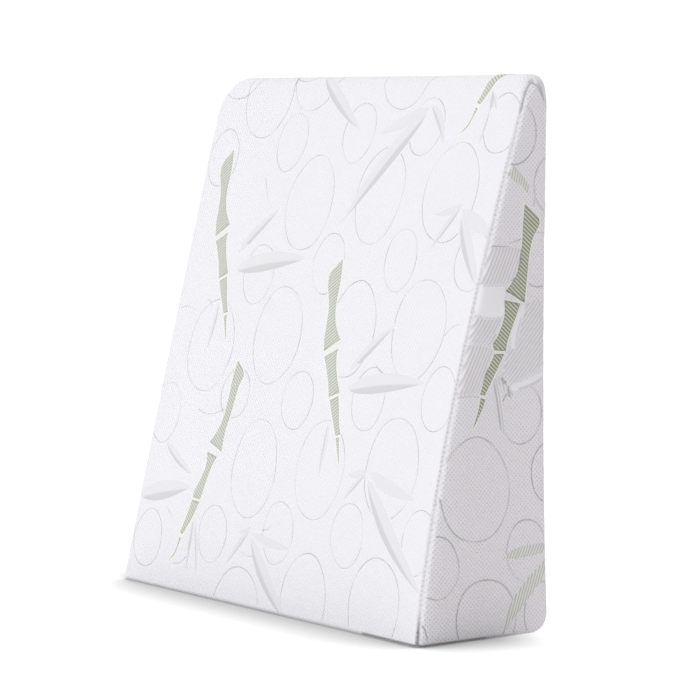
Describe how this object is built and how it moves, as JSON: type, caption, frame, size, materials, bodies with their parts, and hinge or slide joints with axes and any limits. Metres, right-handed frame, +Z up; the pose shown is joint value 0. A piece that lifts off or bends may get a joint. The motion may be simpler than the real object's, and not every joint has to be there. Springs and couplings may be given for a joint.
{
  "type": "wedge pillow",
  "caption": "Wedge-shaped bed pillow with one sloping face, an upright back and a thin rounded top end, in a sewn knitted cover, standing on its thick end.",
  "frame": {"origin": "centre of the bounding box's bottom, on the surface that the thick end stands on", "axes": "+Z up from the thick end to the thin end, +Y out of the upright flat back, -Y the side that the sloping face looks to, +X along the width"},
  "size_m": [0.6032, 0.1836, 0.613],
  "materials": {
    "knitted_cover": "soft matt double knit"
  },
  "bodies": {
    "root": {"wedge_pillow": "knitted_cover"}
  },
  "joints": []
}
